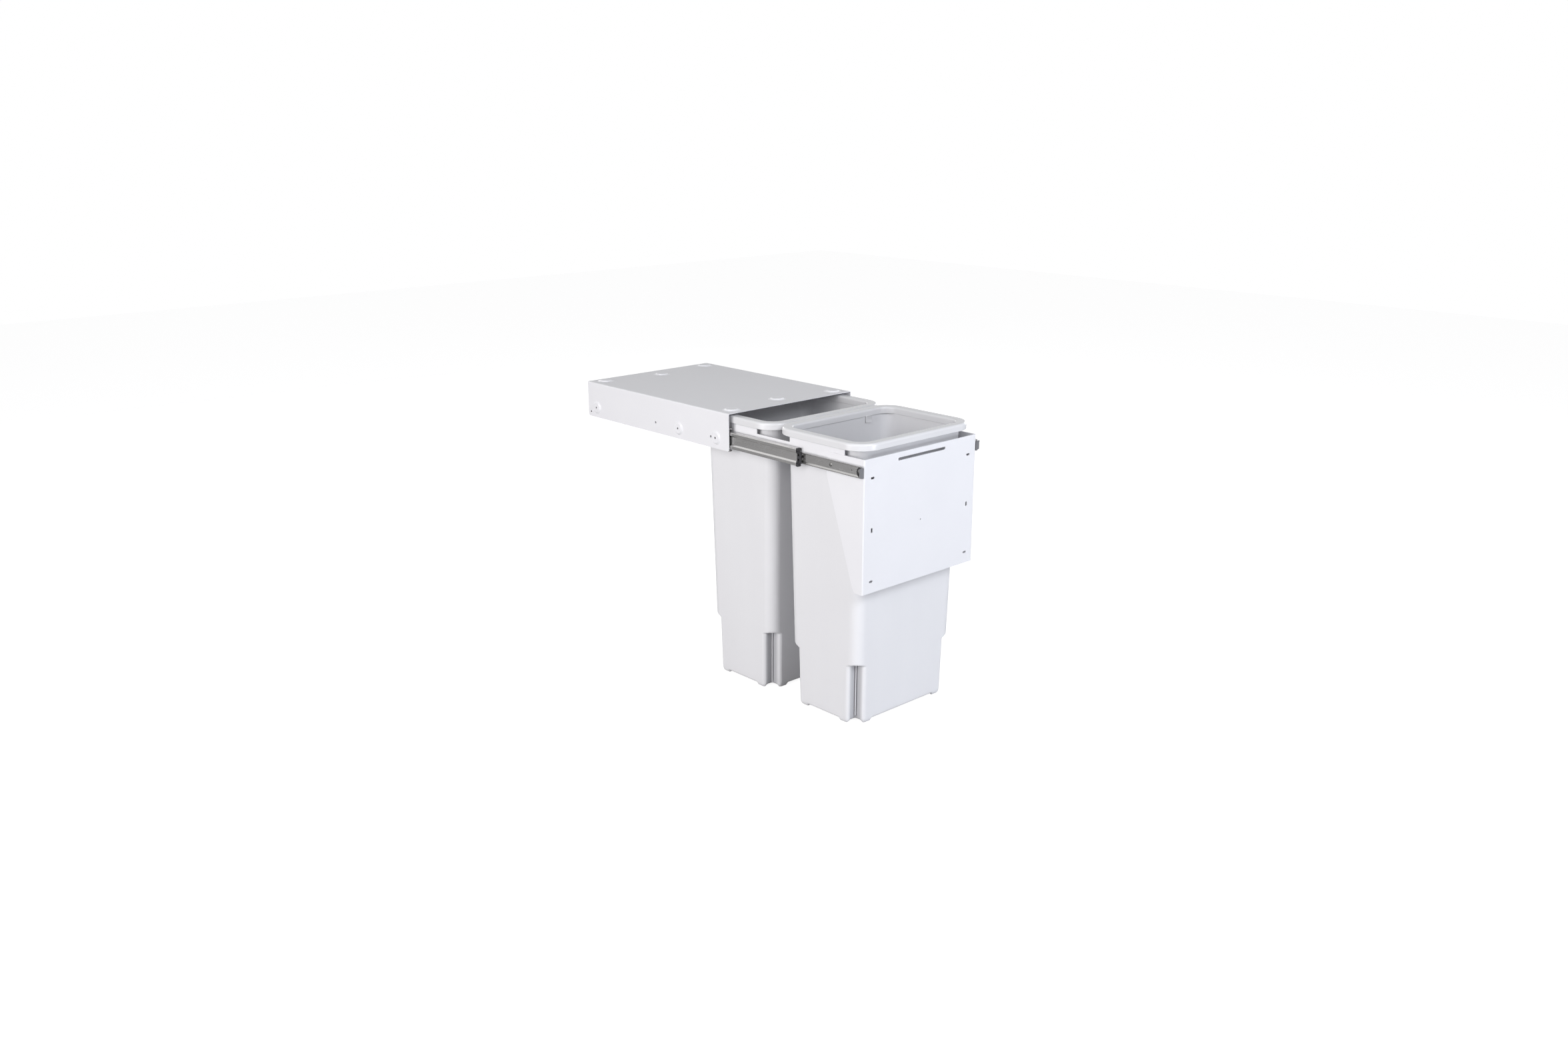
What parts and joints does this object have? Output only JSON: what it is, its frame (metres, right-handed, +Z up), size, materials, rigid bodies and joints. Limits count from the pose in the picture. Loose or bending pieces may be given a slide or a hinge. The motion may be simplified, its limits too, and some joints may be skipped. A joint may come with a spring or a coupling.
{
  "type": "pull out bin frame",
  "caption": "Pull-out waste bin frame for a base cabinet: white folded housing, telescopic ball-bearing slides, door bracket and hanging buckets with liner rings.",
  "frame": {"origin": "top centre of the front middle pad on the housing roof, in the housing's middle plane", "axes": "+X to the right seen from the front, +Y to the back of the cabinet, +Z up"},
  "size_m": [0.37, 0.882, 0.6105],
  "materials": {
    "white_powder_coat": "smooth satin white powder coat on folded steel",
    "zinc_strip": "bright zinc-plated rolled steel strip",
    "retainer_steel": "plain steel strip",
    "ball_steel": "polished hardened steel",
    "black_plastic": "matt moulded acetal",
    "bumper_rubber": "moulded rubber",
    "bright_fixings": "zinc-plated screws and rivets",
    "bucket_plastic": "pale grey moulded polypropylene, satin",
    "ring_plastic": "white moulded plastic, semi-gloss"
  },
  "bodies": {
    "housing": {"top_housing": "white_powder_coat", "slide_outer_left": "zinc_strip", "slide_outer_right": "zinc_strip", "rear_bumper_left": "bumper_rubber", "rear_bumper_right": "bumper_rubber", "front_guide_left": "black_plastic", "front_guide_right": "black_plastic", "slide_screws_left": "bright_fixings", "slide_screws_right": "bright_fixings"},
    "carrier": {"slide_inner_left": "zinc_strip", "slide_inner_right": "zinc_strip", "end_stop_left": "black_plastic", "end_stop_right": "black_plastic", "stop_rivet_left": "bright_fixings", "stop_rivet_right": "bright_fixings", "carrier_screws_left": "bright_fixings", "carrier_screws_right": "bright_fixings", "carrier_side_left": "white_powder_coat", "carrier_side_right": "white_powder_coat", "rear_rail": "white_powder_coat", "rail_rivets": "bright_fixings", "front_bracket": "white_powder_coat", "bracket_rivets": "bright_fixings"},
    "middle_left": {"slide_middle_left": "zinc_strip", "middle_stop_left": "black_plastic"},
    "outer_retainer_left": {"outer_cage_left": "retainer_steel", "outer_balls_left": "ball_steel"},
    "inner_retainer_left": {"inner_cage_left": "retainer_steel", "inner_balls_left": "ball_steel"},
    "middle_right": {"slide_middle_right": "zinc_strip", "middle_stop_right": "black_plastic"},
    "outer_retainer_right": {"outer_cage_right": "retainer_steel", "outer_balls_right": "ball_steel"},
    "inner_retainer_right": {"inner_cage_right": "retainer_steel", "inner_balls_right": "ball_steel"},
    "bucket_front": {"bucket_front": "bucket_plastic", "liner_ring_front": "ring_plastic"},
    "bucket_rear": {"bucket_rear": "bucket_plastic", "liner_ring_rear": "ring_plastic"}
  },
  "joints": [
    {"name": "carrier_slide", "type": "slide", "parent": "housing", "child": "carrier", "axis": [0, -1, 0], "range_m": [-0.376, 0.136]},
    {"name": "middle_slide_left", "type": "slide", "parent": "housing", "child": "middle_left", "axis": [0, -1, 0], "range_m": [-0.2148, 0.078]},
    {"name": "outer_retainer_slide_left", "type": "slide", "parent": "housing", "child": "outer_retainer_left", "axis": [0, -1, 0], "range_m": [-0.1077, 0.0393]},
    {"name": "inner_retainer_slide_left", "type": "slide", "parent": "middle_left", "child": "inner_retainer_left", "axis": [0, -1, 0], "range_m": [-0.0813, 0.0297]},
    {"name": "middle_slide_right", "type": "slide", "parent": "housing", "child": "middle_right", "axis": [0, -1, 0], "range_m": [-0.2148, 0.078]},
    {"name": "outer_retainer_slide_right", "type": "slide", "parent": "housing", "child": "outer_retainer_right", "axis": [0, -1, 0], "range_m": [-0.1077, 0.0393]},
    {"name": "inner_retainer_slide_right", "type": "slide", "parent": "middle_right", "child": "inner_retainer_right", "axis": [0, -1, 0], "range_m": [-0.0813, 0.0297]},
    {"name": "bucket_lift_front", "type": "slide", "parent": "carrier", "child": "bucket_front", "axis": [0, 0, 1], "range_m": [0, 0.004]},
    {"name": "bucket_lift_rear", "type": "slide", "parent": "carrier", "child": "bucket_rear", "axis": [0, 0, 1], "range_m": [0, 0.004]}
  ],
  "couplings": [
    {"joint": "middle_slide_left", "follows": "carrier_slide", "ratio": 0.57},
    {"joint": "outer_retainer_slide_left", "follows": "carrier_slide", "ratio": 0.285},
    {"joint": "inner_retainer_slide_left", "follows": "carrier_slide", "ratio": 0.215},
    {"joint": "middle_slide_right", "follows": "carrier_slide", "ratio": 0.57},
    {"joint": "outer_retainer_slide_right", "follows": "carrier_slide", "ratio": 0.285},
    {"joint": "inner_retainer_slide_right", "follows": "carrier_slide", "ratio": 0.215}
  ]
}
